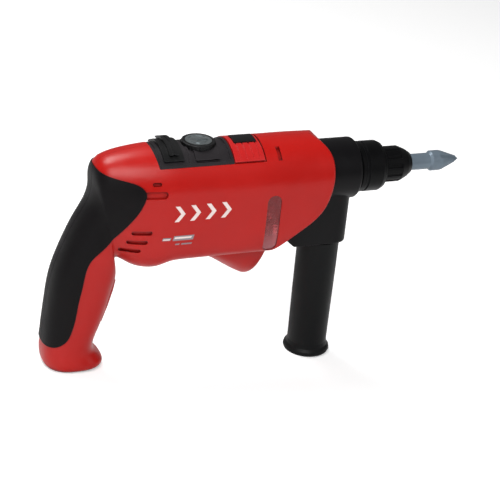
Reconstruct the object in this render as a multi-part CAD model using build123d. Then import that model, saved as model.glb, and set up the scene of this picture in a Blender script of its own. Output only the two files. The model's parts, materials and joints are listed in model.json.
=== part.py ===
# Toy hammer drill: pistol-grip body in two shells, side handle, geared spindle, chuck and
# driver bit. Millimetres. +X runs along the spindle towards the bit (the front), +Z is up,
# and the plane y = 0 parts the two shells: the right one has y < 0, the left one y > 0.
# The origin is on the spindle axis, at the front face of the collar.
from build123d import *
import math
import os

os.makedirs("parts", exist_ok=True)

# ---------------------------------------------------------------- driving dimensions
BODY_R = 23.5            # radius of the barrel's round top, and half the body's width
BODY_BOTTOM = -42.5      # underside of the barrel
WALL = 2.6               # shell wall
PART_GAP = 0.06          # half the gap at the parting plane
BEYOND_R = 30            # radius of cutters that reach outside the body

SIDE_X = -16.4           # side handle axis
SIDE_R = 12.5
SIDE_BOTTOM = -120.4
BOOT_BOTTOM = -43.0
BOOT_HALF_W = 13.8

PANEL_Z = 15.6           # lower edge of the top panels
PANEL_IN_R = 20.7
SWITCH_PANEL_FRONT = -82.2
TOP_COVER_X = (-81.6, -63.0)
DIAL_X, DIAL_R = -98.5, 9.8
SLIDER_X = -117.5
BUTTON_X = -72.0

SPINDLE_R = 4.0
SHAFT_R = 1.0            # motor shaft
BUSH_R = 6.0
BUSH_SEAT_R = BUSH_R + 0.02
GEAR_MODULE = 0.8
PINION_TEETH, SPUR_TEETH = 10, 30
MOTOR_Z = -GEAR_MODULE * (PINION_TEETH + SPUR_TEETH) / 2   # one centre distance down
GEAR_X = (-47.4, -41.4)

WINDOW_X, WINDOW_Z = -58.0, -21.4
WINDOW_L, WINDOW_W = 36.4, 8.6
CELL_Y, CELL_Z = 7.3, -33.0
DOOR_X = (-110.9, -53.4)
DOOR_HALF_W = 15.0
DOOR_TAB_X = -117.9      # rear end of the opening for the door's tab
DOOR_SCREW_X = -114.4
TRIGGER_SLOT_Z = (-84.4, -57.2)
TRIGGER_Z = -70.0        # level of the trigger's spring and plunger
BOARD_TOP = 9.6


# ---------------------------------------------------------------- small helpers
def rod_x(r, x0, x1, y=0.0, z=0.0):
    return Pos((x0 + x1) / 2, y, z) * Rot(0, 90, 0) * Cylinder(r, x1 - x0)


def rod_y(r, y0, y1, x, z):
    """Cylinder along Y; its ends may be given in either order."""
    return Pos(x, (y0 + y1) / 2, z) * Rot(90, 0, 0) * Cylinder(r, abs(y1 - y0))


def rod_z(r, z0, z1, x, y=0.0):
    return Pos(x, y, (z0 + z1) / 2) * Cylinder(r, z1 - z0)


def block(x0, x1, y0, y1, z0, z1):
    centre = Pos((x0 + x1) / 2, (y0 + y1) / 2, (z0 + z1) / 2)
    return centre * Box(x1 - x0, y1 - y0, z1 - z0)


def mid_block(x0, x1, half_y, z0, z1):
    """Block that straddles the parting plane evenly."""
    return block(x0, x1, -half_y, half_y, z0, z1)


def around(centre, half):
    """The two ends of a span."""
    return centre - half, centre + half


def circle_points(count, radius, start=0.0):
    """Points spaced evenly round a circle, the first at start degrees."""
    for k in range(count):
        angle = math.radians(start + 360 / count * k)
        yield radius * math.cos(angle), radius * math.sin(angle)


def prism_y(points, half_y):
    """Polygon of (x, z) corners, extruded to half_y either side of the parting plane."""
    face = make_face(Polyline([(x, -half_y, z) for x, z in points], close=True))
    return extrude(face, amount=2 * half_y, dir=(0, 1, 0))


def curved_face(curve, corners, y):
    """Face at y: a spline through the curve's (x, z) points, closed past straight corners."""
    front = Spline([(x, y, z) for x, z in curve])
    back = Polyline([(x, y, z) for x, z in [curve[-1], *corners, curve[0]]])
    return make_face([front, back])


def slot_y(x, z, length, height, y0, y1, upright=False):
    """Round-ended slot from y0 to y1, lying along X or standing upright."""
    long_way = (0, 0, 1) if upright else (1, 0, 0)
    plane = Plane(origin=(x, (y0 + y1) / 2, z), x_dir=long_way, z_dir=(0, -1, 0))
    return extrude(plane * SlotOverall(length, height), amount=(y1 - y0) / 2, both=True)


def revolve_x(points):
    """Solid of revolution about the spindle axis from (x, r) points."""
    face = make_face(Polyline([(x, 0, r) for x, r in points], close=True))
    return revolve(face, Axis.X, 360)


def saddle(r_out, r_in, x0, x1, z_low):
    """Part of a tube about the spindle axis that lies above z_low."""
    tube = rod_x(r_out, x0, x1) - rod_x(r_in, x0 - 1, x1 + 1)
    return tube & mid_block(x0 - 5, x1 + 5, 40, z_low, 40)


def saddle_groove(floor_r, x0, x1, z_low):
    """Cutter for everything outside floor_r and above z_low."""
    return saddle(BEYOND_R, floor_r, x0, x1, z_low)


def coil(radius, wire, pitch, height, origin, direction):
    path = Helix(pitch, height, radius, center=origin, direction=direction)
    return sweep(Plane(origin=path @ 0, z_dir=path % 0) * Circle(wire), path=path)


def union(shapes):
    out, *others = shapes
    for shape in others:
        out = out + shape
    return out


def mirrored(shape):
    return mirror(shape, Plane.XZ)


def largest(shape):
    return max(shape.solids(), key=lambda solid: solid.volume)


def soft(shape, edges, radius):
    """Fillet, falling back to smaller radii and last to the unchanged shape."""
    edges = list(edges)
    for r in (radius, radius * 0.7, radius * 0.4, radius * 0.2):
        # The kernel raises an error where this radius does not fit these edges.
        try:
            out = fillet(edges, r)
            if out.is_valid and out.volume > 0:
                return out
        except Exception:
            pass
    return shape


def write(name, piece):
    """Export a shape, or a list of shapes, as one file."""
    shapes = piece if isinstance(piece, list) else [piece]
    solids = [solid for shape in shapes for solid in shape.solids()]
    part = Compound(children=solids) if len(solids) > 1 else solids[0]
    part.label = name
    export_step(part, f"parts/{name}.step")


# ---------------------------------------------------------------- outer form of the body
# Sections strung from the barrel round the tail and down the handle. Each lies in the plane
# through its inner point and its outer point that is square to y = 0:
# inner (x, z), outer (x, z), half width, where the widest level lies (share of the way out),
# roundness of the outer half and of the inner half (2 is an ellipse, larger is squarer)
SECTIONS = [
    ((x, BODY_BOTTOM), (x, BODY_R), BODY_R, 0.644, 2.0, 6.0)
    for x in (-14.0, -36.0, -58.0, -80.0, -100.0)
] + [
    ((-109.0, -42.6), (-109.0, 23.5), 23.5, 0.644, 2.0, 6.0),
    ((-116.5, -43.6), (-117.0, 23.5), 23.4, 0.645, 2.0, 5.6),
    ((-124.0, -46.6), (-126.0, 23.4), 22.9, 0.650, 2.0, 5.0),
    ((-131.0, -47.4), (-135.3, 22.6), 22.0, 0.640, 2.05, 4.2),
    ((-137.5, -46.2), (-144.4, 21.2), 20.5, 0.625, 2.15, 3.5),
    ((-142.3, -43.8), (-151.6, 19.4), 18.7, 0.600, 2.25, 3.0),
    ((-145.4, -42.6), (-156.8, 16.6), 17.2, 0.570, 2.35, 2.8),
    ((-146.6, -43.6), (-159.8, 11.4), 16.3, 0.540, 2.4, 2.7),
    ((-146.4, -46.4), (-159.9, 3.0), 16.0, 0.520, 2.5, 2.6),
    ((-145.4, -49.8), (-161.7, -7.6), 16.2, 0.500, 2.6, 2.6),
    ((-144.8, -53.2), (-167.2, -18.2), 16.3, 0.500, 2.6, 2.6),
    ((-145.0, -57.2), (-174.2, -33.4), 16.0, 0.500, 2.6, 2.6),
    ((-146.4, -63.0), (-180.2, -50.7), 15.7, 0.500, 2.6, 2.6),
    ((-149.2, -74.5), (-183.0, -69.2), 15.4, 0.500, 2.6, 2.6),
    ((-152.8, -86.0), (-184.4, -85.0), 15.1, 0.500, 2.6, 2.6),
    ((-155.6, -95.0), (-185.2, -95.0), 14.8, 0.500, 2.6, 2.6),
    ((-155.4, -99.5), (-185.6, -99.5), 15.0, 0.500, 2.6, 2.6),
    ((-151.8, -104.2), (-185.4, -104.2), 15.8, 0.500, 2.6, 2.6),
    ((-149.6, -107.6), (-184.6, -107.6), 16.2, 0.500, 2.6, 2.6),
    ((-150.2, -109.3), (-183.6, -109.3), 15.6, 0.500, 2.6, 2.6),
    ((-152.0, -110.2), (-181.8, -110.2), 14.0, 0.500, 2.6, 2.6),
]
FOOT_SECTIONS = SECTIONS[-3:]
ARC_STEPS = 26           # equal steps along each section, so that the sections match

# nose outline in side view (x, z), from the top down to the underside
NOSE = [
    (-33.0, 24.2), (-28.0, 22.6), (-24.0, 19.8), (-21.6, 15.5), (-20.9, 9.0),
    (-21.2, 0.5), (-22.6, -7.5), (-25.4, -14.6), (-30.2, -20.8), (-37.6, -26.9),
    (-45.4, -33.0), (-52.0, -38.6), (-57.5, -44.0),
]
NOSE_CORNERS = [(-60, -160), (-260, -160), (-260, 60), (-36, 60)]   # well outside the body


def even_steps(points):
    """Total length of a chain of points, and points at equal steps along it."""
    run = [0.0]
    for a, b in zip(points, points[1:]):
        run.append(run[-1] + math.dist(a, b))
    arc, at = [points[0]], 0
    for k in range(1, ARC_STEPS):
        goal = run[-1] * k / ARC_STEPS
        while run[at + 1] < goal:
            at += 1
        share = (goal - run[at]) / (run[at + 1] - run[at])
        arc.append(tuple(a + (b - a) * share for a, b in zip(points[at], points[at + 1])))
    arc.append(points[-1])
    return run[-1], arc


def section(row, off, lap):
    """Right half of a section grown by off, closed at the parting plane or at y = lap."""
    (in_x, in_z), (out_x, out_z), half_width, widest, outer_power, inner_power = row
    length = math.hypot(out_x - in_x, out_z - in_z)
    dir_x, dir_z = (out_x - in_x) / length, (out_z - in_z) / length
    # the foot sections also change level, so that the sole moves by off
    drop = off if row in FOOT_SECTIONS else 0.0
    start_x, start_z = in_x - dir_x * off, in_z - dir_z * off - drop
    length += 2 * off
    half_width += off
    middle = length * widest
    squeeze = (half_width - PART_GAP) / half_width
    dense = []
    for k in range(361):
        angle = math.radians(-90 + 0.5 * k)
        cos, sin = max(math.cos(angle), 0.0), math.sin(angle)
        height, power = (length - middle, outer_power) if sin > 0 else (middle, inner_power)
        reach = ((cos / half_width) ** power + (abs(sin) / height) ** power) ** (-1 / power)
        along = middle + reach * sin
        y = -PART_GAP - reach * cos * squeeze
        dense.append((start_x + dir_x * along, y, start_z + dir_z * along))
    arc_length, arc = even_steps(dense)
    side = Edge.make_spline(
        [Vector(*point) for point in arc],
        tangents=[Vector(0, -arc_length, 0), Vector(0, arc_length, 0)],
        parameters=[k / ARC_STEPS for k in range(ARC_STEPS + 1)],
        scale=False,
    )
    if not lap:
        return make_face([side, Line(arc[-1], arc[0])])
    far_out, far_in = [(x, lap, z) for x, y, z in (arc[-1], arc[0])]
    return make_face([side, Line(arc[-1], far_out), Line(far_out, far_in), Line(far_in, arc[0])])


def skin(off=0.0, lap=0.0):
    """Right half of the body's outer form, moved out by off; cutters lap past y = 0."""
    return loft([section(row, off, lap) for row in SECTIONS])


# ---------------------------------------------------------------- shells
SCREWS = [(-56.5, 12.5), (-95.0, -12.0), (-124.0, -30.0), (-148.5, 7.5), (-168.6, -96.5)]  # x, z
# blind slots in the side: x, z, length, height
VENTS = [
    (-128.6, 8.2, 5.2, 2.2), (-129.2, 2.2, 13.6, 4.4), (-135.8, -20.8, 11.6, 2.7),
    (-138.0, -26.8, 11.6, 2.7), (-141.4, -32.6, 11.6, 2.7),
]
# straight ribs inside the side wall: x from, x to, inner y, z from, z to
RIBS = [
    (-54.0, -51.75, -13.2, -20, 4), (-49.35, -47.8, -13.2, -20, 4),
    (-75.0, -72.5, -10.0, -23.9, -8), (-67.0, -64.5, -10.0, -23.9, -8),
    (-101, -63, -14.75, -27.2, -25.75), (-121, -70, -11.4, 6.4, 7.9),
]
RIB_R = (22.6, 18.6)     # outer and inner radius of the ribs beside the housing's flange


def window_slot(trim, inner_y):
    length, width = WINDOW_L - trim, WINDOW_W - trim
    return slot_y(WINDOW_X, WINDOW_Z, length, width, -32, inner_y, upright=True)


def shell_ribs():
    ribs = rod_x(RIB_R[0], -36.2, -33.15) - rod_x(RIB_R[1], -40, -30)
    ribs += rod_x(RIB_R[0], -30.85, -29.7) - rod_x(RIB_R[1], -40, -25)
    ribs = ribs & block(-60, 0, -40, -8, -6, 40)
    for x0, x1, inner_y, z0, z1 in RIBS:
        ribs += block(x0, x1, -24, inner_y, z0, z1)
    return ribs


def shared_openings():
    """Openings that straddle the parting plane: top panels, battery door, trigger."""
    rear, sill, front = -126.2, PANEL_Z - 0.1, TOP_COVER_X[1] + 0.2
    cuts = prism_y([(-131.9, 40), (rear, sill), (front, sill), (front, 40)], 40)
    cuts += mid_block(DOOR_X[0] - 0.3, DOOR_X[1] + 0.2, DOOR_HALF_W + 0.2, -70, -36)
    cuts += mid_block(DOOR_TAB_X, DOOR_X[0] - 0.1, 4.4, -70, -36)
    cuts += mid_block(-160, -130, 6.3, *TRIGGER_SLOT_Z)
    return cuts


def unscrewed_right_shell(core):
    """Right shell before its screw holes; core bounds the ribs and bosses."""
    nose_form = extrude(curved_face(NOSE, NOSE_CORNERS, -60), amount=120, dir=(0, 1, 0))
    shell = (skin() & nose_form) - skin(-WALL, lap=1.0)
    rim = [
        e for e in shell.edges()
        if e.bounding_box().min.X > -62 and e.length > 20 and e.center().Y < -21.9
    ]
    shell = soft(shell, rim, 1.3)

    bosses = union([rod_y(3.2, -24, -PART_GAP, x, z) for x, z in SCREWS])
    shell = shell + (shell_ribs() & core) + (bosses & core)

    vents = union([slot_y(*vent, -32, -13.5) for vent in VENTS]) - skin(-1.5, lap=1.0)
    notch = rod_x(BEYOND_R, -55.6, -53.2) - rod_x(21.9, -60, -50)
    notch = notch & block(-60, -50, -17.4, -10, 10, 30)
    return shell - window_slot(0.0, -14.5) - vents - shared_openings() - notch


def shells():
    """Right shell with blind pilot holes, left shell with through holes and head recesses."""
    core = skin(-1.1)
    right = unscrewed_right_shell(core)
    left = mirrored(right)
    left_core = mirrored(core)
    for x, z in SCREWS:
        left = left + (left_core & rod_y(4.8, PART_GAP, 24, x, z))
    for x, z in SCREWS:
        left = left - rod_y(1.5, -1, 12, x, z) - rod_y(3.1, 8.0, 40, x, z)
        right = right - rod_y(1.25, -10.5, 1, x, z)
    return right, left


def shell_screws():
    screws = []
    for x, z in SCREWS:
        screw = rod_y(1.15, -9.6, 8.1, x, z) + rod_y(2.75, 8.05, 10.0, x, z)
        for half_x, half_z in ((2.0, 0.35), (0.35, 2.0)):   # cross recess
            screw -= block(*around(x, half_x), 9.2, 11, *around(z, half_z))
        screws.append(screw)
    return screws


# ---------------------------------------------------------------- grip pads and windows
# front edge of the grip pad in side view (x, z), from the top down
GRIP_OUTLINE = [
    (-176.0, 18.0), (-166.0, 16.4), (-158.8, 13.2), (-149.2, 10.6), (-142.7, 9.2),
    (-136.9, 6.6), (-134.9, 3.6), (-135.5, -0.8), (-137.9, -6.6), (-142.9, -14.4),
    (-148.7, -22.4), (-156.4, -31.2), (-162.8, -37.8), (-165.6, -44.8), (-167.2, -54.5),
    (-169.0, -64.5), (-170.2, -74.0), (-172.0, -82.4), (-174.8, -89.0), (-180.0, -93.0),
    (-189.0, -94.4), (-206.0, -94.8),
]
GRIP_BACK = -215
PAD_Y = (-0.15, -60)     # the pad's parting face, and a level beyond its outside


def right_grip_pad():
    corners = [(GRIP_BACK, GRIP_OUTLINE[-1][1]), (GRIP_BACK, GRIP_OUTLINE[0][1])]
    face = curved_face(GRIP_OUTLINE, corners, PAD_Y[0])
    region = extrude(face, amount=PAD_Y[0] - PAD_Y[1], dir=(0, -1, 0))
    return largest((skin(0.75) & region) - skin(0.12, lap=1.0))


def right_light_window():
    pane = window_slot(0.3, -15)
    return largest((pane & skin(-0.35)) - skin(-2.3, lap=1.0))


# ---------------------------------------------------------------- top panels
def switch_panel():
    front = SWITCH_PANEL_FRONT
    panel = rod_x(23.05, -132, front) - rod_x(PANEL_IN_R, -140, -80)
    panel = panel & prism_y([(-131.7, 40), (-126.05, PANEL_Z), (front, PANEL_Z), (front, 40)], 40)
    panel -= saddle_groove(22.3, -107.0, front - 1.6, PANEL_Z + 1.5)
    panel += saddle(PANEL_IN_R, 19.0, -109.5, -83, 12.0)     # lug under the shell's edge
    panel += saddle(23.6, 21.5, -104.4, -90.2, 18.4)         # raised band under the dial
    panel -= rod_z(DIAL_R + 0.3, 21.3, 40, DIAL_X)
    panel -= rod_z(3.05, 10, 30, DIAL_X)
    panel -= mid_block(*around(SLIDER_X, 5.5), 2.2, 10, 30)
    for x0, x1 in ((-127.2, -125.6), (-109.3, -107.9)):
        panel -= saddle_groove(22.5, x0, x1, 17.2)
    return panel


def front_top_cover():
    rear, front = TOP_COVER_X
    cover = saddle(BODY_R, PANEL_IN_R, rear, front, PANEL_Z)
    cover += saddle(PANEL_IN_R, 19.0, rear, front - 0.4, 12.0)
    cover -= mid_block(*around(BUTTON_X, 7.0), 5.25, 10, 40)
    for k in range(4):
        x = -78.6 + 3.9 * k
        cover -= saddle_groove(23.0, x, x + 0.8, 17.6)
    cover -= saddle_groove(22.4, front - 0.9, front + 1, 8)
    # step along both lower edges
    edge_step = saddle_groove(22.4, rear - 1, front + 1, 5)
    return cover - (edge_step & mid_block(-200, 0, 40, 4, PANEL_Z + 0.9))


# ---------------------------------------------------------------- controls on top
def direction_slider():
    slider = saddle(24.6, 23.15, *around(SLIDER_X, 5.9), 19.2)
    slider += saddle(26.2, 24.0, *around(SLIDER_X, 2.5), 22.2)
    slider -= saddle_groove(25.7, *around(SLIDER_X, 0.6), 10)
    slider += mid_block(*around(SLIDER_X, 2.1), 1.95, 13.2, 23.6)
    return slider


def mode_dial():
    knob = rod_z(DIAL_R, 21.45, 24.3, DIAL_X)
    knob = soft(knob, [e for e in knob.edges() if e.center().Z > 24], 0.6)
    for dx, y in circle_points(24, DIAL_R + 0.15):
        knob -= rod_z(0.45, 21.4, 23.6, DIAL_X + dx, y)
    knob -= rod_z(7.7, 23.7, 30, DIAL_X)
    knob += rod_z(2.98, 12.6, 22, DIAL_X)
    return knob


def dial_cap():
    groove = rod_z(5.9, 24.2, 30, DIAL_X) - rod_z(4.6, 24, 30, DIAL_X)
    cap = rod_z(7.6, 23.72, 24.5, DIAL_X) - groove
    return cap + mid_block(DIAL_X - 1.3, DIAL_X + 5.0, 1.1, 24.0, 25.2)     # pointer


def sound_button():
    span = around(BUTTON_X, 6.7)
    button = rod_x(24.2, *span) & mid_block(*span, 5.0, 17.0, 30)
    button = button + mid_block(-80.4, -63.8, 6.3, 15.4, 17.0)
    return button + mid_block(*around(BUTTON_X, 1.5), 1.5, 14.4, 16)


# ---------------------------------------------------------------- front housing
COLLAR_R = 18.0
HOUSING_X = (-33.0, -0.7)
# boot in side view (x, z), from the top front corner down and round the back
BOOT_OUTLINE = [
    (-1.6, -6), (-3.3, -44), (-35.6, -44), (-39.0, -42.2), (-42.2, -39.4), (-44.6, -35.8),
    (-46, -31), (-46, -23.2), (-30, -23.2), (-30, -6),
]


def front_housing():
    """Collar, the boot below it, and the socket for the side handle."""
    collar = rod_x(COLLAR_R, -31.5, HOUSING_X[1])
    collar = soft(collar, [e for e in collar.edges() if e.center().X > -2], 1.8)
    plan = RectangleRounded(43.0, 2 * BOOT_HALF_W, 8.5)
    boot = Pos(-24.4, 0, BOOT_BOTTOM) * extrude(plan, amount=36)
    boot = soft(boot, [e for e in boot.edges() if e.center().Z < BOOT_BOTTOM + 0.1], 0.8)
    boot = boot & prism_y(BOOT_OUTLINE, 20)
    house = collar + boot + rod_x(20.35, HOUSING_X[0], -31.0)
    house -= rod_x(15.2, -40, -3.4)
    house += rod_x(8.6, -24.0, -3.0)                         # hub for the front bush
    house = house - rod_x(BUSH_SEAT_R, -30, -9.9) - rod_x(4.5, -12, 2)
    house -= mid_block(-43.0, -27.4, 11.2, -40.6, -20)
    house = house - rod_z(7.95, -50, -28.0, SIDE_X) - rod_z(9.6, -36.4, -33.6, SIDE_X)
    house -= mid_block(*around(SIDE_X, 2.2), 9.6, -50, -33.6)
    return house


# ---------------------------------------------------------------- side handle
# (r, z) about the handle axis: top end, down the outside, up the bore
SIDE_PROFILE = [
    (5.0, -43.4), (11.9, -43.4), (SIDE_R, -44.0), (12.45, -60), (12.3, -80), (12.1, -100),
    (12.0, -113.6), (12.6, -116.0), (13.9, -117.6), (14.2, -119.0), (13.7, -120.1),
    (12.9, SIDE_BOTTOM), (9.9, SIDE_BOTTOM), (9.9, -50.0), (5.0, -50.0),
]


def side_handle_grip():
    outline = Polyline([(SIDE_X + r, 0, z) for r, z in SIDE_PROFILE], close=True)
    return revolve(make_face(outline), Axis((SIDE_X, 0, 0), (0, 0, 1)), 360)


def side_handle_peg():
    peg = rod_z(7.8, -43.35, -28.6, SIDE_X)
    peg = peg + mid_block(*around(SIDE_X, 9.35), 1.9, -36.2, -33.9)         # cross bar
    peg = peg + rod_z(4.95, -56.0, -43.35, SIDE_X)
    return peg - rod_z(1.75, -57, -44.5, SIDE_X)


def side_handle_screw():
    head = rod_z(7.5, -58.6, -56.1, SIDE_X) - rod_z(2.0, -60, -57.4, SIDE_X)
    return rod_z(1.65, -56.2, -45.0, SIDE_X) + head


def side_handle_cap():
    return rod_z(9.8, -119.6, -116.6, SIDE_X) - rod_z(7.6, -118.0, -110, SIDE_X)


# ---------------------------------------------------------------- gearing and motor
PRESSURE_ANGLE = math.radians(20)
TOOTH_THICKNESS = 0.92   # at the pitch circle
ADDENDUM, DEDENDUM = 0.7, 0.92
FLANK_STEPS = 5


def involute(angle):
    return math.tan(angle) - angle


def gear(teeth, width, bore, phase):
    """Involute gear from x = 0 to width, with one tooth centred at phase degrees."""
    pitch_r = GEAR_MODULE * teeth / 2
    tip_r, root_r = pitch_r + ADDENDUM, pitch_r - DEDENDUM
    base_r = pitch_r * math.cos(PRESSURE_ANGLE)              # above the root in both gears
    flank = []                                               # radius, half tooth angle
    for n in range(FLANK_STEPS + 1):
        r = base_r + (tip_r - base_r) * n / FLANK_STEPS
        narrowing = involute(PRESSURE_ANGLE) - involute(math.acos(min(1, base_r / r)))
        flank.append((r, TOOTH_THICKNESS / (2 * pitch_r) + narrowing))
    foot = flank[0][1] + 0.02
    tooth = [(root_r, -foot)] + [(r, -half) for r, half in flank]
    tooth += [(r, half) for r, half in reversed(flank)] + [(root_r, foot)]
    points = []
    for k in range(teeth):
        centre = math.radians(phase) + 2 * math.pi * k / teeth
        points += [(r * math.cos(centre + h), r * math.sin(centre + h)) for r, h in tooth]
    face = make_face(Plane.YZ * Polyline(points, close=True))
    return extrude(face, amount=width, dir=(1, 0, 0)) - rod_x(bore, -5, width + 5)


def spindle_gear():
    width = GEAR_X[1] - GEAR_X[0]
    spur = Pos(GEAR_X[0], 0, 0) * gear(SPUR_TEETH, width, SPINDLE_R + 0.02, -90)
    for y, z in circle_points(6, 7.6):
        spur -= rod_x(1.7, -60, -30, y, z)
    return spur


def motor_pinion():
    overhang = 0.4
    width = GEAR_X[1] - GEAR_X[0] + 2 * overhang
    half_pitch = 180 / PINION_TEETH                          # puts a tooth gap at the top
    pinion = gear(PINION_TEETH, width, SHAFT_R + 0.02, 90 + half_pitch)
    return Pos(GEAR_X[0] - overhang, 0, MOTOR_Z) * pinion


def motor_shaft():
    return rod_x(SHAFT_R, -81.4, -40.4, 0, MOTOR_Z)


def flat_sided(r, x0, x1, half_height):
    """Rod on the motor axis with flats above and below."""
    return rod_x(r, x0, x1, 0, MOTOR_Z) & mid_block(-90, -40, 12, *around(MOTOR_Z, half_height))


def shaft_hole():
    return rod_x(SHAFT_R + 0.06, -90, -40, 0, MOTOR_Z)


def motor_can():
    can = flat_sided(9.8, -77.0, -51.8, 7.6) + rod_x(3.0, -52, -50.2, 0, MOTOR_Z)
    return can - shaft_hole()


def motor_end_cap():
    end = flat_sided(9.6, -79.8, -77.05, 7.4) - shaft_hole()
    for y in (-5.0, 5.0):                                    # terminals
        end = end + block(-82.4, -79.7, *around(y, 1.2), *around(MOTOR_Z, 0.3))
    return end


def gear_plate():
    x0, x1 = -51.6, -49.5
    plate = mid_block(x0, x1, 14.4, -25.4, 9.4)
    plate = plate - rod_x(BUSH_SEAT_R, -60, -40) - rod_x(3.15, -60, -40, 0, MOTOR_Z)
    corners = [e for e in plate.edges() if abs(e.length - (x1 - x0)) < 0.01]
    return soft(plate, corners, 3.0)


def rear_bush():
    bush = rod_x(BUSH_R, -51.6, -49.4) + rod_x(7.2, -49.45, -48.2)
    return bush - rod_x(SPINDLE_R + 0.05, -60, -40)


def front_bush():
    bush = rod_x(BUSH_R, -22.0, -10.0) + rod_x(7.2, -25.4, -24.1) + rod_x(BUSH_R, -24.2, -21.9)
    return bush - rod_x(SPINDLE_R + 0.05, -60, 0)


# ---------------------------------------------------------------- spindle, chuck and bit
CHUCK_R = 15.0
CHUCK_X = (0.3, 17.4)
CHUCK_NOSE_R = 10.7
CHUCK_TIP_X = 36.6
BIT_FLATS = 9.0          # across flats of the hexagonal bit shank
SOCKET_FLATS = 9.3
BIT_TIP_X = 70.3
# (x, r) profiles
RING_PROFILE = [
    (CHUCK_X[0], 4.02), (CHUCK_X[0], 14.2), (1.1, CHUCK_R), (3.6, CHUCK_R), (4.1, 14.4),
    (5.1, 14.4), (5.6, CHUCK_R), (14.2, CHUCK_R), (16.6, 13.9), (CHUCK_X[1], 12.6),
    (CHUCK_X[1], 8.03), (12.0, 8.03), (12.0, 4.02),
]
CHUCK_NOSE_PROFILE = [
    (12.05, 0), (12.05, 8.0), (CHUCK_X[1] + 0.05, 8.0), (CHUCK_X[1] + 0.05, 10.2),
    (18.0, CHUCK_NOSE_R), (29.0, CHUCK_NOSE_R), (30.6, 10.0), (33.6, 8.6), (35.4, 7.4),
    (CHUCK_TIP_X, 6.6), (CHUCK_TIP_X, 0),
]
BIT_PROFILE = [
    (36.7, 0), (36.7, 4.5), (37.3, 4.9), (50.0, 4.9), (51.4, 6.1), (57.0, 6.1), (58.6, 5.7),
    (BIT_TIP_X - 1.0, 1.7), (BIT_TIP_X, 0.9), (BIT_TIP_X, 0),
]


def hexagon_x(flats, x0, length):
    hexagon = RegularPolygon(flats / 2, 6, major_radius=False)
    return Pos(x0, 0, 0) * Rot(0, 90, 0) * extrude(hexagon, amount=length)


def spindle():
    return rod_x(SPINDLE_R, -52.6, 12.0) - rod_x(1.5, 1.6, 14)


def chuck_ring():
    return revolve_x(RING_PROFILE)


def chuck_nose():
    nose = revolve_x(CHUCK_NOSE_PROFILE)
    nose = nose - hexagon_x(SOCKET_FLATS, 15.6, 30) - rod_x(3.5, 13.7, 16) - rod_x(1.5, 12, 14)
    for y, z in circle_points(12, 11.1, start=15):
        nose -= rod_x(1.15, 19.2, 28.6, y, z)
    return nose


def chuck_screw():
    head = rod_x(3.4, 13.75, 15.4) - mid_block(14.8, 16, 2.4, -0.4, 0.4)
    return rod_x(1.42, 2.0, 13.8) + head


def driver_bit():
    bit = hexagon_x(BIT_FLATS, 15.8, 21.0)
    bit += revolve_x(BIT_PROFILE)
    flute = Pos(64.5, 0, 5.0) * Rot(0, 22, 0) * Rot(0, 90, 0) * Cylinder(2.3, 20)
    for k in range(4):
        bit = bit - Rot(90 * k + 45, 0, 0) * flute
    return bit


# ---------------------------------------------------------------- trigger
TRIGGER_BACK = -159.6
# side views (x, z)
TRIGGER_OUTLINE = [
    (-143.9, -58.0), (-145.0, -64.0), (-147.7, -74.0), (-150.9, -83.6),
    (TRIGGER_BACK, -83.6), (TRIGGER_BACK, -58.0),
]
TRIGGER_WINGS = [
    (-152.2, -60.4), (-157.4, -80.6), (TRIGGER_BACK, -80.6), (TRIGGER_BACK, -60.4),
]


def trigger():
    body = prism_y(TRIGGER_OUTLINE, 6.0)
    side_edges = [
        e for e in body.edges()
        if e.bounding_box().max.X > -150 and e.bounding_box().size.Y < 0.01
    ]
    body = soft(body, side_edges, 2.2)
    body += prism_y(TRIGGER_WINGS, 7.3)
    return body - rod_x(3.1, -161, -156.0, 0, TRIGGER_Z)     # spring pocket


def trigger_spring():
    return coil(2.4, 0.36, 1.7, 9.2, (-156.5, 0, TRIGGER_Z), (-1, 0, 0))


def trigger_switch():
    case = mid_block(-177.6, -166.4, 6.0, -80.0, -60.4)
    return soft(case, case.edges(), 0.5) + rod_x(1.2, -167, -162.6, 0, TRIGGER_Z)


# ---------------------------------------------------------------- cells, holder and door
HOLDER_X = (-110.7, -53.9)
FRONT_CONTACT_X = (-55.65, -55.35)
# keel under the door: x, half width, depth below KEEL_Z
KEEL = [
    (-102.0, 9.6, 0.9), (-96.0, 11.2, 2.4), (-90.0, 12.2, 5.2), (-82.0, 13.0, 10.2),
    (-74.5, 13.4, 15.2), (-68.0, 13.2, 19.0), (-64.0, 12.8, 20.4), (-60.2, 12.2, 19.2),
    (-57.2, 11.4, 15.6), (-55.2, 10.6, 10.6), (-54.0, 10.0, 5.2),
]
KEEL_Z = -42.0


def cells():
    """Two cells side by side, the right one pointing forwards and the left one backwards."""
    cell = rod_x(7.05, 0, 49.5) + rod_x(2.7, 49.4, 51.0)
    cell = soft(cell, [e for e in cell.edges() if e.length > 40], 0.5)
    return [
        Pos(-107.0, -CELL_Y, CELL_Z) * cell,
        Pos(-57.8, CELL_Y, CELL_Z) * Rot(0, 0, 180) * cell,
    ]


def battery_holder():
    rear, front = HOLDER_X
    holder = mid_block(rear, front, 15.2, -25.6, -24.1)
    holder += mid_block(rear, rear + 1.4, 15.2, -40.0, -24.1)
    holder += mid_block(front - 1.4, front, 15.2, -40.0, -24.1)
    holder += mid_block(-117.6, rear + 0.2, 4.0, -40.7, -32.0)
    return holder - rod_z(1.25, -45, -33.6, DOOR_SCREW_X)


def contact_plates():
    return [
        mid_block(-109.25, -108.95, 12.6, -38.0, -28.0),
        block(*FRONT_CONTACT_X, -12.6, -2.0, -38.0, -28.0),
        block(*FRONT_CONTACT_X, 2.0, 12.6, -38.0, -28.0),
    ]


def contact_springs():
    ends = ((-108.6, -CELL_Y, 1), (-56.0, CELL_Y, -1))
    return [coil(3.4, 0.28, 0.72, 1.25, (x, y, CELL_Z), (way, 0, 0)) for x, y, way in ends]


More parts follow.
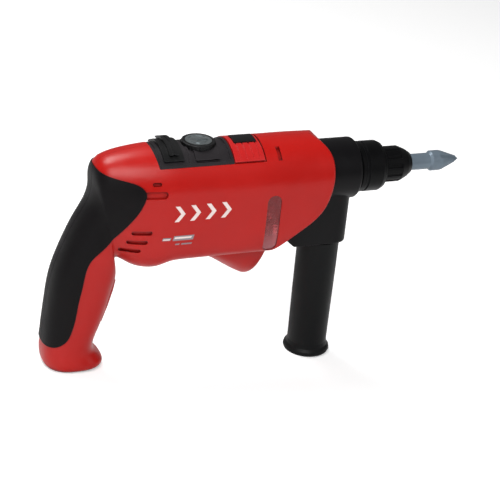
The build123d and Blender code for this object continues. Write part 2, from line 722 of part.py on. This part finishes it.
def keel(off, top):
    """Keel grown by off, with its flat top at z = top."""
    faces = []
    for x, half_width, depth in KEEL:
        half_width, depth = half_width + off, max(depth + off, 0.15)
        power = 1.9 if depth > 5 else 2.4
        points = []
        for k in range(17):
            angle = math.pi * k / 16
            cos, sin = math.cos(angle), math.sin(angle)
            across, down = abs(cos) / half_width, abs(sin) / (depth + 0.4)
            reach = (across ** power + down ** power) ** (-1 / power)
            points.append((x, reach * cos, KEEL_Z - reach * sin))
        rim = [points[-1], (x, -half_width, top), (x, half_width, top), points[0]]
        faces.append(make_face([Spline(points), Polyline(rim)]))
    return loft(faces)


def battery_door():
    door = mid_block(*DOOR_X, DOOR_HALF_W, BODY_BOTTOM, -40.7)
    door += keel(0.0, -41.2)
    door = door - (keel(-2.0, -40.0) & mid_block(-90, -56.3, 20, -80, -30))
    door += mid_block(DOOR_TAB_X + 0.2, DOOR_X[0] + 0.2, 4.2, -43.0, -41.0)
    return door - rod_z(1.5, -50, -30, DOOR_SCREW_X) - rod_z(2.6, -50, -42.2, DOOR_SCREW_X)


def door_screw():
    head = rod_z(2.4, -43.0, -42.3, DOOR_SCREW_X)
    head = head - mid_block(*around(DOOR_SCREW_X, 1.6), 0.3, -44, -42.6)
    return rod_z(1.15, -42.3, -34.0, DOOR_SCREW_X) + head


# ---------------------------------------------------------------- electronics
SWITCH_BASE = BOARD_TOP + 0.05
SPEAKER = (-138.0, -23.5)    # x, z
LAMP = (WINDOW_X, -14.0)     # x, z
WIRE_TOP = 7.7               # just under the board


def circuit_board():
    board = mid_block(-126.0, -64.2, 12.0, 8.0, BOARD_TOP)
    for x in (-123.5, -67):
        for y in (-9.5, 9.5):
            board -= rod_z(1.2, 5, 12, x, y)
    board += mid_block(-92.0, -84.0, 4.0, 9.5, 11.2)
    board += block(-90, -87, 6, 9.4, 9.5, 11.0)
    board += rod_z(2.6, 9.5, 15.4, -108.0, -7.0)
    return board


def slide_switch():
    case = mid_block(*around(SLIDER_X, 4.9), 3.4, SWITCH_BASE, 13.0)
    return case - mid_block(*around(SLIDER_X, 4.1), 1.0, 12, 14)


def dial_switch():
    return mid_block(*around(DIAL_X, 5), 5, SWITCH_BASE, 12.4) - rod_z(1.2, 11.6, 14, DIAL_X)


def button_switch():
    case = mid_block(*around(BUTTON_X, 3.0), 3.0, SWITCH_BASE, 12.2)
    return case + rod_z(1.5, 12.1, 13.0, BUTTON_X)


def loudspeaker():
    basket = rod_y(8.4, -13.4, -11.2, *SPEAKER) - rod_y(7.4, -13.5, -12.4, *SPEAKER)
    return basket + rod_y(5.0, -11.3, -7.4, *SPEAKER) + rod_y(2.6, -12.9, -11.0, *SPEAKER)


def lamps():
    pair = []
    for side in (-1, 1):
        dome = Pos(LAMP[0], side * 18.0, LAMP[1]) * Sphere(2.5)
        lamp = rod_y(2.5, side * 13.6, side * 18.0, *LAMP) + dome
        pair.append(lamp + rod_y(2.9, side * 12.8, side * 13.8, *LAMP))
    return pair


def wire(points, radius=0.55):
    """Straight runs between points, with a ball at the start of each."""
    parts = []
    for start, end in zip(points, points[1:]):
        start, end = Vector(*start), Vector(*end)
        run = end - start
        parts.append(Pos(*start) * Sphere(radius))
        parts.append(Plane(origin=(start + end) * 0.5, z_dir=run) * Cylinder(radius, run.length))
    return union(parts).solids()[0]


def wires():
    motor = [
        wire([(-83.2, side * 5, MOTOR_Z), (-87.0, side * 6, -8), (-87.0, side * 6, WIRE_TOP)])
        for side in (-1, 1)
    ]
    battery = [
        wire([(-112.6, y, -29), (-113.4, y, -10), (-113.4, y, WIRE_TOP)]) for y in (-8, 8)
    ]
    trigger_run = [(-166.0, 8.2, -70), (-158.0, 8.2, -40), (-138.0, 6.0, -10)]
    return motor + battery + [wire(trigger_run + [(-121.0, 6.0, WIRE_TOP)])]


# ---------------------------------------------------------------- files
right_shell, left_shell = shells()
write("right_shell", right_shell)
write("left_shell", left_shell)

for name, right_piece in (("grip_pad", right_grip_pad()), ("light_window", right_light_window())):
    write(f"right_{name}", right_piece)
    write(f"left_{name}", mirrored(right_piece))

# each of these functions has the name of its file
for build in (
    shell_screws, switch_panel, front_top_cover, direction_slider, mode_dial, dial_cap,
    sound_button, front_housing, side_handle_grip, side_handle_peg, side_handle_screw,
    side_handle_cap, spindle_gear, motor_pinion, motor_shaft, motor_can, motor_end_cap,
    gear_plate, rear_bush, front_bush, spindle, chuck_ring, chuck_nose, chuck_screw,
    driver_bit, trigger, trigger_spring, trigger_switch, cells, battery_holder,
    contact_plates, contact_springs, battery_door, door_screw, circuit_board, slide_switch,
    dial_switch, button_switch, loudspeaker, lamps, wires,
):
    write(build.__name__, build())
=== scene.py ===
"""A hand-held power tool with a pistol grip, a trigger and a side handle.

The front faces +X and up is +Z. The housing shells meet at y = 0, with the right shell on
the -Y side. This script adds materials, printed marks, a seam tongue, a copy of the trigger
spring and the stage.
"""
import json
import math

import bmesh
import bpy
from mathutils import Matrix, Vector
from mathutils.bvhtree import BVHTree


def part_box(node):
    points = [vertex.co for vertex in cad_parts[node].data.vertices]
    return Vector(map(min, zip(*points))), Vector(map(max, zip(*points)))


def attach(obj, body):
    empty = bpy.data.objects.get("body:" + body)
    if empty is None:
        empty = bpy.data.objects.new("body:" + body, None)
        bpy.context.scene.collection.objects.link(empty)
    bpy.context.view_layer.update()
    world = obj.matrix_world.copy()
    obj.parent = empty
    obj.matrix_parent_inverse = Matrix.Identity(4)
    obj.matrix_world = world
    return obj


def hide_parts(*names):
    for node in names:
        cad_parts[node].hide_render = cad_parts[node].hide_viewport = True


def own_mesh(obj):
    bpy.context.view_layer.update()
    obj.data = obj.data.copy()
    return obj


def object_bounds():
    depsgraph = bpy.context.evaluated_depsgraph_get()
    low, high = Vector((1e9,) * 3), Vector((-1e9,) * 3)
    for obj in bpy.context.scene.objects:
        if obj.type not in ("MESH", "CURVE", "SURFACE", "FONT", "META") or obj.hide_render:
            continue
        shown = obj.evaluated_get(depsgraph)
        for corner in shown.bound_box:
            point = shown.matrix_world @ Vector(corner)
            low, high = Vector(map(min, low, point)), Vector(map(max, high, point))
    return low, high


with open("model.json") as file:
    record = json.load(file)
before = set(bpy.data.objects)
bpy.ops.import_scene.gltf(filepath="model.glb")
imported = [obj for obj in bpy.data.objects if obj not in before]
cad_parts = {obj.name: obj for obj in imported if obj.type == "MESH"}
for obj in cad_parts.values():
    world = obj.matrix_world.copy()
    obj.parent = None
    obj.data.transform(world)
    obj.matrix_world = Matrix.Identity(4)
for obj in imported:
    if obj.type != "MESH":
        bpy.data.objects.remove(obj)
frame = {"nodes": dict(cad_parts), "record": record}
CAD_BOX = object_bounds()
nodes = frame["nodes"]
scene = bpy.context.scene
scene.view_settings.view_transform = "Standard"
scene.view_settings.look = "None"
MM = 0.001


# ---------------------------------------------------------------- shader building
def srgb(rgb):
    """An 8-bit sRGB colour as linear RGBA."""
    def linear(level):
        level /= 255.0
        return level / 12.92 if level <= 0.04045 else ((level + 0.055) / 1.055) ** 2.4
    return (*map(linear, rgb), 1.0)


def scaled(colour, factor, lift=0.0):
    return (*(min(level * factor + lift, 1) for level in colour[:3]), 1.0)


class Shader:
    """A Principled material and short calls that add nodes to it."""

    def __init__(self, name):
        self.material = bpy.data.materials.new(name)
        self.material.use_nodes = True
        self.tree = self.material.node_tree
        self.surface = self.tree.nodes["Principled BSDF"]
        self.position = self.add("ShaderNodeTexCoord").outputs["Object"]
        self.normal = None

    def add(self, kind, **settings):
        node = self.tree.nodes.new(kind)
        for key, value in settings.items():
            setattr(node, key, value)
        return node

    def link(self, source, target):
        self.tree.links.new(source, target)

    def drive(self, name, source):
        self.link(source, self.surface.inputs[name])

    def set(self, **values):
        for key, value in values.items():
            self.surface.inputs[key.replace("_", " ")].default_value = value

    def stretched(self, scale, rotation=(0, 0, 0)):
        node = self.add("ShaderNodeMapping")
        node.inputs["Scale"].default_value = scale
        node.inputs["Rotation"].default_value = rotation
        self.link(self.position, node.inputs["Vector"])
        return node.outputs["Vector"]

    def noise(self, scale, detail=3.0, rough=0.55, vector=None):
        node = self.add("ShaderNodeTexNoise")
        node.inputs["Scale"].default_value = scale
        node.inputs["Detail"].default_value = detail
        node.inputs["Roughness"].default_value = rough
        self.link(vector or self.position, node.inputs["Vector"])
        return node.outputs["Fac"]

    def ramp(self, value, span, out=(0.0, 1.0)):
        """Maps the span onto the out range."""
        node = self.add("ShaderNodeMapRange")
        node.inputs["From Min"].default_value, node.inputs["From Max"].default_value = span
        node.inputs["To Min"].default_value, node.inputs["To Max"].default_value = out
        self.link(value, node.inputs["Value"])
        return node.outputs["Result"]

    def patches(self, span, out=(0.0, 1.0), **noise):
        return self.ramp(self.noise(**noise), span, out)

    def fill(self, socket, value):
        if isinstance(value, (int, float, tuple)):
            socket.default_value = value
        else:
            self.link(value, socket)

    def math(self, operation, a, b, clamp=False):
        node = self.add("ShaderNodeMath", operation=operation, use_clamp=clamp)
        self.fill(node.inputs[0], a)
        self.fill(node.inputs[1], b)
        return node.outputs[0]

    def mix(self, factor, a, b):
        # sockets 6, 7 and output 2 are the colour ones
        node = self.add("ShaderNodeMix", data_type="RGBA")
        self.link(factor, node.inputs[0])
        self.fill(node.inputs[6], a)
        self.fill(node.inputs[7], b)
        return node.outputs[2]

    def bump(self, height, strength, distance):
        """Each bump is laid over the one before."""
        node = self.add("ShaderNodeBump")
        node.inputs["Strength"].default_value = strength
        node.inputs["Distance"].default_value = distance
        self.link(height, node.inputs["Height"])
        if self.normal is not None:
            self.link(self.normal, node.inputs["Normal"])
        self.normal = node.outputs["Normal"]
        self.drive("Normal", self.normal)

    def edge(self, radius):
        """1 on convex and concave edges, 0 on open faces."""
        bevel = self.add("ShaderNodeBevel", samples=4)
        bevel.inputs["Radius"].default_value = radius
        geometry = self.add("ShaderNodeNewGeometry")
        dot = self.add("ShaderNodeVectorMath", operation="DOT_PRODUCT")
        self.link(bevel.outputs["Normal"], dot.inputs[0])
        self.link(geometry.outputs["Normal"], dot.inputs[1])
        turn = self.math("SUBTRACT", 1.0, dot.outputs["Value"])
        return self.ramp(turn, span=(0.02, 0.35))


# ---------------------------------------------------------------- materials
def plastic(name, rgb, rough, spread, grain, grain_scale, vary, wear, wear_rgb=None,
            coat=0.0, metallic=0.0, sheen=0.0, spec=0.30, recess_shade=0.0):
    """Moulded plastic: cloudy colour, fine grain, uneven gloss, paler rubbed edges, scuffs, optional
    painted shade in recesses.
    """
    base = srgb(rgb)
    worn = srgb(wear_rgb) if wear_rgb else scaled(base, 1.5, lift=0.02)
    shader = Shader(name)
    colour = shader.mix(shader.patches(scale=28.0, detail=2.0, span=(0.35, 0.65)),
                        scaled(base, 1 - vary), scaled(base, 1 + vary))
    speckle = shader.patches(scale=420.0, detail=4.0, span=(0.3, 0.75), out=(0.0, 0.35))
    colour = shader.mix(speckle, colour, scaled(base, 1 - vary * 1.4))
    edge = shader.math("MULTIPLY", shader.edge(radius=0.0005),
                       shader.patches(scale=160.0, span=(0.35, 0.65)))
    colour = shader.mix(shader.math("MULTIPLY", edge, wear), colour, worn)
    if recess_shade:
        # painted shade: ambient occlusion darkens the colour in recesses
        occlusion = shader.add("ShaderNodeAmbientOcclusion", samples=8)
        occlusion.inputs["Distance"].default_value = 0.0035
        shade = shader.ramp(occlusion.outputs["AO"], span=(0.80, 0.30), out=(0.0, recess_shade))
        colour = shader.mix(shade, colour, scaled(base, 0.16))
    shader.drive("Base Color", colour)

    streaks = shader.stretched(scale=(1.0, 1.0, 9.0), rotation=(0.3, 0.5, 0.2))
    scuff = shader.patches(scale=70.0, detail=6.0, rough=0.7, vector=streaks, span=(0.62, 0.78))
    gloss = shader.patches(scale=55.0, detail=4.0, span=(0.3, 0.7),
                           out=(rough - spread, rough + spread))
    gloss = shader.math("ADD", gloss, shader.math("MULTIPLY", scuff, 0.10))
    polish = shader.math("MULTIPLY", edge, 0.06)
    shader.drive("Roughness", shader.math("SUBTRACT", gloss, polish, clamp=True))

    shader.bump(shader.noise(scale=grain_scale, detail=2.0), strength=grain, distance=0.00006)
    shader.bump(shader.noise(scale=60.0, detail=2.0), strength=0.06, distance=0.0006)
    shader.set(Metallic=metallic, Coat_Weight=coat, Coat_Roughness=0.18, IOR=1.5,
               Specular_IOR_Level=spec, Sheen_Weight=sheen, Sheen_Roughness=0.5)
    return shader.material


# texture scales that draw the scratches out along an axis
BRUSH = {"X": (0.06, 1, 1), "Y": (1, 0.06, 1)}


def metal(name, rgb, rough, brush, scale, strength):
    """Turned or drawn metal with fine directional scratches."""
    base = srgb(rgb)
    shader = Shader(name)
    fine = shader.noise(scale=scale, detail=5.0, rough=0.7, vector=shader.stretched(BRUSH[brush]))
    colour = shader.mix(shader.ramp(fine, span=(0.3, 0.7)), scaled(base, 0.86), scaled(base, 1.1))
    blotches = shader.patches(scale=90.0, span=(0.5, 0.75), out=(0, 0.3))
    colour = shader.mix(blotches, colour, scaled(base, 0.7))
    wear = shader.math("MULTIPLY", shader.edge(radius=0.0003), 0.3)
    shader.drive("Base Color", shader.mix(wear, colour, (0.9, 0.9, 0.9, 1)))
    shader.drive("Roughness", shader.ramp(fine, span=(0.25, 0.75), out=(rough - 0.08, rough + 0.12)))
    shader.bump(fine, strength=strength, distance=0.00005)
    shader.set(Metallic=1.0)
    return shader.material


def clear(name, rgb, transmission, rough):
    """Ribbed clear plastic, less clear towards its lower end, where a painted pale light makes it
    pinker.
    """
    tint = srgb(rgb)
    shader = Shader(name)
    colour = shader.mix(shader.patches(scale=60.0, span=(0.35, 0.65)), scaled(tint, 0.92), tint)
    split = shader.add("ShaderNodeSeparateXYZ")
    shader.link(shader.position, split.inputs[0])
    low = shader.ramp(split.outputs["Z"], span=(-0.020, -0.036))
    # painted light: the lower end is mixed towards a pale pink
    painted_low_light = shader.math("MULTIPLY", low, 0.50)
    shader.drive("Base Color", shader.mix(painted_low_light, colour, srgb((206, 150, 156))))
    shader.drive("Roughness", shader.patches(scale=120.0, detail=4.0, span=(0.3, 0.7),
                                             out=(rough - 0.04, rough + 0.08)))
    ribs = shader.add("ShaderNodeTexWave", wave_type="BANDS", bands_direction="Z")
    ribs.inputs["Scale"].default_value = 160.0
    shader.link(shader.position, ribs.inputs["Vector"])
    shader.bump(ribs.outputs["Fac"], strength=0.12, distance=0.0004)
    shader.set(IOR=1.46)
    shader.drive("Transmission Weight",
                 shader.ramp(low, span=(0, 1), out=(transmission, transmission * 0.55)))
    return shader.material


# name, sRGB, roughness, its spread, grain strength, grain scale, colour variation,
# edge wear, worn sRGB (None: a paler base), further settings
PLASTICS = (
    ("red_shell", (184, 16, 9), 0.34, 0.06, 0.18, 1800, 0.05, 0.40, (224, 62, 52),
     # red_shell: painted shade darkens its recesses
     dict(spec=0.36, recess_shade=0.85)),
    ("red_cover", (190, 26, 26), 0.36, 0.06, 0.22, 1800, 0.06, 0.5, (232, 96, 98),
     dict(spec=0.40)),
    ("red_trigger", (172, 15, 10), 0.34, 0.06, 0.16, 1800, 0.06, 0.5, (226, 70, 58),
     dict(spec=0.36)),
    ("soft_grip", (11, 8, 10), 0.54, 0.07, 0.75, 1100, 0.14, 0.25, (46, 42, 44),
     dict(sheen=0.01, spec=0.15)),
    ("black_panel", (31, 27, 30), 0.46, 0.07, 0.6, 1500, 0.10, 0.4, (92, 88, 90), {}),
    ("black_housing", (12, 11, 13), 0.40, 0.07, 0.45, 1600, 0.12, 0.35, (50, 50, 56),
     dict(spec=0.17)),
    ("black_handle", (13, 14, 15), 0.44, 0.07, 0.55, 1400, 0.12, 0.3, (46, 47, 50),
     dict(spec=0.17)),
    ("chuck_black", (6, 6, 7), 0.36, 0.08, 0.3, 1800, 0.12, 0.45, (56, 58, 64), dict(spec=0.14)),
    ("black_button", (12, 12, 13), 0.42, 0.07, 0.5, 1800, 0.14, 0.5, (70, 70, 72),
     dict(spec=0.28)),
    ("holder_black", (46, 46, 48), 0.5, 0.06, 0.4, 1600, 0.1, 0.3, None, {}),
    ("bit_grey", (114, 128, 140), 0.34, 0.07, 0.2, 1600, 0.08, 0.4, (164, 176, 186),
     dict(metallic=0.35, spec=0.4)),
    ("white_nylon", (226, 224, 216), 0.42, 0.06, 0.2, 1800, 0.04, 0.2, None, {}),
    ("cell_wrap", (60, 104, 150), 0.28, 0.06, 0.1, 1200, 0.08, 0.3, None, dict(coat=0.4)),
    ("board_green", (26, 96, 52), 0.35, 0.08, 0.3, 900, 0.15, 0.3, None, dict(coat=0.3)),
    ("wire_red", (150, 34, 30), 0.45, 0.05, 0.15, 2500, 0.08, 0.2, None, {}),
    ("speaker_paper", (52, 52, 55), 0.6, 0.08, 0.8, 900, 0.15, 0.3, None, {}),
)
# name, sRGB, roughness, scratch axis, scratch scale, scratch depth
METALS = (
    ("dial_metal", (178, 186, 188), 0.30, "X", 1100, 0.18),
    ("steel", (196, 196, 198), 0.30, "X", 900, 0.12),
    ("motor_steel", (186, 186, 190), 0.34, "X", 500, 0.12),
    ("brass", (206, 174, 96), 0.32, "X", 900, 0.12),
    ("bronze", (170, 128, 84), 0.45, "Y", 700, 0.12),
    ("screw_zinc", (196, 192, 182), 0.28, "Y", 1300, 0.12),
)
# name, sRGB, transmission, roughness
CLEARS = (
    ("clear_window", (204, 72, 76), 0.78, 0.12),
    ("lamp_clear", (250, 226, 220), 0.6, 0.08),
)
materials = {row[0]: plastic(*row[:-1], **row[-1]) for row in PLASTICS}
materials.update({row[0]: metal(*row) for row in METALS})
materials.update({row[0]: clear(*row) for row in CLEARS})

slot_of = {part["node"]: part["material_slot"] for part in frame["record"]["subparts"]}
for node_name, piece in nodes.items():
    piece.data.materials.clear()
    piece.data.materials.append(materials[slot_of[node_name]])


# ---------------------------------------------------------------- stage
def mesh_object(name, bm, material):
    mesh = bpy.data.meshes.new(name)
    bm.to_mesh(mesh)
    bm.free()
    made = bpy.data.objects.new(name, mesh)
    scene.collection.objects.link(made)
    mesh.materials.append(material)
    return made


def floor_material():
    """Pale floor, brighter to the camera and see-through from below."""
    shader = Shader("floor_pale")
    shader.drive("Base Color", shader.mix(shader.patches(scale=3.0, span=(0.3, 0.7)),
                                          (0.90, 0.90, 0.90, 1), (0.93, 0.93, 0.93, 1)))
    shader.set(Roughness=0.75, Specular_IOR_Level=0.1, Emission_Color=(1.0, 1.0, 1.0, 1.0))
    seen = shader.add("ShaderNodeLightPath").outputs["Is Camera Ray"]
    shader.drive("Emission Strength", shader.math("MULTIPLY", seen, 0.42))
    below = shader.add("ShaderNodeNewGeometry").outputs["Backfacing"]
    shader.drive("Alpha", shader.math("SUBTRACT", 1.0, below))
    return shader.material


def build_floor():
    """Floor tilted to pass just under the housing and the side handle."""
    foot_inset, gap = 0.015, 0.0006
    shell_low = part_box("right_shell")[0]
    handle_low, handle_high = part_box("side_handle_grip")
    rear_foot = Vector((shell_low.x + foot_inset, 0, shell_low.z))
    handle_foot = Vector(((handle_low.x + handle_high.x) / 2, 0, handle_low.z))
    slope = math.atan2(handle_foot.z - rear_foot.z, handle_foot.x - rear_foot.x)
    bm = bmesh.new()
    bmesh.ops.create_grid(bm, x_segments=8, y_segments=8, size=3.0)
    floor = mesh_object("floor", bm, floor_material())
    floor.rotation_euler = (0, -slope, 0)
    floor.location = rear_foot - Vector((0, 0, gap))


def build_world():
    """White world: full strength to the camera, dim as a light."""
    world = bpy.data.worlds.new("world")
    scene.world = world
    world.use_nodes = True
    tree = world.node_tree
    sky = tree.nodes["Background"]
    sky.inputs["Color"].default_value = (1.0, 1.0, 1.0, 1)
    path = tree.nodes.new("ShaderNodeLightPath")
    strength = tree.nodes.new("ShaderNodeMapRange")
    strength.inputs["To Min"].default_value = 0.17
    strength.inputs["To Max"].default_value = 1.0
    tree.links.new(path.outputs["Is Camera Ray"], strength.inputs["Value"])
    tree.links.new(strength.outputs["Result"], sky.inputs["Strength"])


# name, offset from the middle of the product, size, power in watts
LIGHTS = (
    ("key", (-0.30, -0.60, 0.85), (0.7, 0.5), 7.2),
    ("top", (-0.30, 0.45, 1.0), (0.6, 0.5), 8.0),
    ("front", (0.9, -0.75, 0.35), (0.5, 0.8), 1.2),
    ("left_fill", (-0.7, -0.8, 0.2), (0.6, 0.8), 1.2),
)


def area_light(name, offset, size, power):
    middle = (CAD_BOX[0] + CAD_BOX[1]) / 2
    data = bpy.data.lights.new(name, "AREA")
    data.shape = "RECTANGLE"
    data.size, data.size_y = size
    data.energy = power
    lamp = bpy.data.objects.new(name, data)
    scene.collection.objects.link(lamp)
    lamp.location = middle + Vector(offset)
    lamp.rotation_mode = "QUATERNION"
    lamp.rotation_quaternion = (middle - lamp.location).to_track_quat("-Z", "Y")


build_floor()
build_world()
for light in LIGHTS:
    area_light(*light)

# ---------------------------------------------------------------- camera
AZIMUTH, PITCH, ROLL = (math.radians(angle) for angle in (-14.0, 25.5, 1.5))
# along the view's right, up and forward directions
ORIGIN_FROM_CAMERA = (0.2128, 0.0203, 0.98)
AIM = (0.155, -0.02928571, 1.0)


def build_camera():
    forward = Vector((-math.sin(AZIMUTH) * math.cos(PITCH),
                      math.cos(AZIMUTH) * math.cos(PITCH), -math.sin(PITCH)))
    level_right = Vector((math.cos(AZIMUTH), math.sin(AZIMUTH), 0.0))
    level_up = level_right.cross(forward)
    right = level_right * math.cos(ROLL) + level_up * math.sin(ROLL)
    up = -level_right * math.sin(ROLL) + level_up * math.cos(ROLL)

    def in_view(parts):
        return right * parts[0] + up * parts[1] + forward * parts[2]

    aim = in_view(AIM).normalized()
    x_axis = aim.cross(up).normalized()
    y_axis = x_axis.cross(aim).normalized()
    data = bpy.data.cameras.new("camera")
    data.sensor_width = 36.0
    data.lens = 121.968
    data.clip_start = 0.01
    camera = bpy.data.objects.new("camera", data)
    scene.collection.objects.link(camera)
    turn = Matrix((x_axis, y_axis, -aim)).transposed().to_4x4()
    camera.matrix_world = Matrix.Translation(-in_view(ORIGIN_FROM_CAMERA)) @ turn
    scene.camera = camera


build_camera()


# ---------------------------------------------------------------- parts fixed to the housing
def tree_of(node):
    mesh = nodes[node].data
    return BVHTree.FromPolygons([v.co.copy() for v in mesh.vertices],
                                [tuple(face.vertices) for face in mesh.polygons])


# side: the sign of y on which each shell lies
SIDES = {"right": -1, "left": 1}
shell_trees = {tag: tree_of(f"{tag}_shell") for tag in SIDES}


def housing_part(name, bm, material):
    bmesh.ops.recalc_face_normals(bm, faces=bm.faces[:])
    part = mesh_object(name, bm, material)
    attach(part, "housing")


# ---------------------------------------------------------------- printed marks
def ink(name, rgb):
    return plastic(name, rgb, rough=0.4, spread=0.05, grain=0.12, grain_scale=2600,
                   vary=0.04, wear=0.0)


INK_WHITE = ink("ink_white", (246, 226, 222))
INK_GREY = ink("ink_grey", (150, 140, 146))
FILM = 0.05 * MM
LIFT = 0.07 * MM
FALLBACK_Y = 23.4 * MM


def decal(name, tag, outlines, material, lift=LIFT):
    """Flat polygons in x, z (mm) laid on one shell as a thin closed film."""
    side = SIDES[tag]
    bm = bmesh.new()
    for outline in outlines:
        bm.faces.new([bm.verts.new((x, 0.0, z)) for x, z in outline])
    bmesh.ops.remove_doubles(bm, verts=bm.verts[:], dist=0.001)
    bmesh.ops.triangulate(bm, faces=bm.faces[:])
    # short edges let the film follow the curved shell
    for _ in range(3):
        long_edges = [e for e in bm.edges if e.calc_length() > 1.6]
        if not long_edges:
            break
        bmesh.ops.subdivide_edges(bm, edges=long_edges, cuts=1)
        bmesh.ops.triangulate(bm, faces=[f for f in bm.faces if len(f.verts) > 3])
    for v in bm.verts:
        x, z = v.co.x * MM, v.co.z * MM
        hit = shell_trees[tag].ray_cast(Vector((x, side * 0.08, z)), Vector((0, -side, 0)))[0]
        y = hit.y if hit is not None else side * FALLBACK_Y
        v.co = Vector((x, y + side * lift, z))
    extruded = bmesh.ops.extrude_face_region(bm, geom=bm.faces[:])
    for item in extruded["geom"]:
        if isinstance(item, bmesh.types.BMVert):
            item.co.y += side * FILM
    housing_part(name, bm, material)


def chevron(x, z, height=9.6, reach=3.6, width=2.6):
    """Two slanted bars that share the edge at the point."""
    tip = x + reach
    return [[(x, end), (x + width, end), (x + width + reach, z), (tip, z)][::order]
            for end, order in ((z + height / 2, 1), (z - height / 2, -1))]


def bar(x0, x1, z0, z1, lean):
    return [(x0, z0), (x1, z0), (x1 + lean, z1), (x0 + lean, z1)]


# shell, x of the first chevron, chevron count, x shift of the plate (mm)
MARKS = (("right", -118.0, 4, 0.0), ("left", -123.4, 3, 6.4))
# name, ink, lift, bars as x0, x1, z0, z1, lean (mm)
PLATES = (
    ("side_plate", INK_GREY, LIFT,
     ((-124.4, -119.6, -26.0, -24.2, 0.6), (-118.2, -106.2, -26.2, -23.2, 0.8))),
    ("side_plate_light", INK_WHITE, 2 * LIFT,
     ((-117.4, -107.4, -25.0, -23.9, 0.6), (-124.0, -120.0, -25.6, -24.8, 0.5))),
    ("side_plate_dark", INK_GREY, LIFT,
     ((-113.0, -106.8, -29.0, -28.1, 0.4), (-116.6, -114.2, -29.0, -28.1, 0.4))),
)
for tag, first_x, count, shift in MARKS:
    chevrons = [outline for k in range(count)
                for outline in chevron(first_x + 9.2 * k, -9.6 + 0.15 * k)]
    decal(f"side_chevrons_{tag}", tag, chevrons, INK_WHITE)
    for name, material, lift, bars in PLATES:
        outlines = [bar(x0 + shift, x1 + shift, *rest) for x0, x1, *rest in bars]
        decal(f"{name}_{tag}", tag, outlines, material, lift)


# ---------------------------------------------------------------- tongue in the grip
def build_tongue():
    """Strip just inside the grip's rear wall, across the parting line."""
    top, height, steps = -52.0, 59.0, 30
    max_wall, ray_offset = 4.5 * MM, 1.2 * MM
    # corners of the section, dx and dy in mm
    section = ((0, -1.5), (0, 1.5), (0.4, 1.5), (0.4, -1.5))
    forward = Vector((1, 0, 0))
    bm = bmesh.new()
    rings = []
    for k in range(steps + 1):
        z = (top - height * k / steps) * MM
        inner = []
        for tag, side in SIDES.items():
            tree = shell_trees[tag]
            outer = tree.ray_cast(Vector((-0.25, side * ray_offset, z)), forward)[0]
            if outer is None:
                continue
            back = tree.ray_cast(outer + Vector((0.3 * MM, 0, 0)), forward)[0]
            if back is not None and back.x - outer.x < max_wall:
                inner.append(back.x)
        if inner:
            x = max(inner) + 0.1 * MM
            rings.append([bm.verts.new((x + dx * MM, dy * MM, z)) for dx, dy in section])
    for upper, lower in zip(rings, rings[1:]):
        for i in range(4):
            j = (i + 1) % 4
            bm.faces.new((upper[i], upper[j], lower[j], lower[i]))
    bm.faces.new(rings[0])
    bm.faces.new(rings[-1])
    housing_part("grip_seam_tongue", bm, materials["red_shell"])


# ---------------------------------------------------------------- trigger spring
def build_spring():
    """Copy of the trigger spring fixed to the housing, with the original part hidden."""
    spring = bpy.data.objects.new("trigger_spring_coil", nodes["trigger_spring"].data.copy())
    scene.collection.objects.link(spring)
    spring.data.materials.clear()
    spring.data.materials.append(materials["steel"])
    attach(spring, "housing")
    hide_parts("trigger_spring")
    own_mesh(spring)


build_tongue()
build_spring()
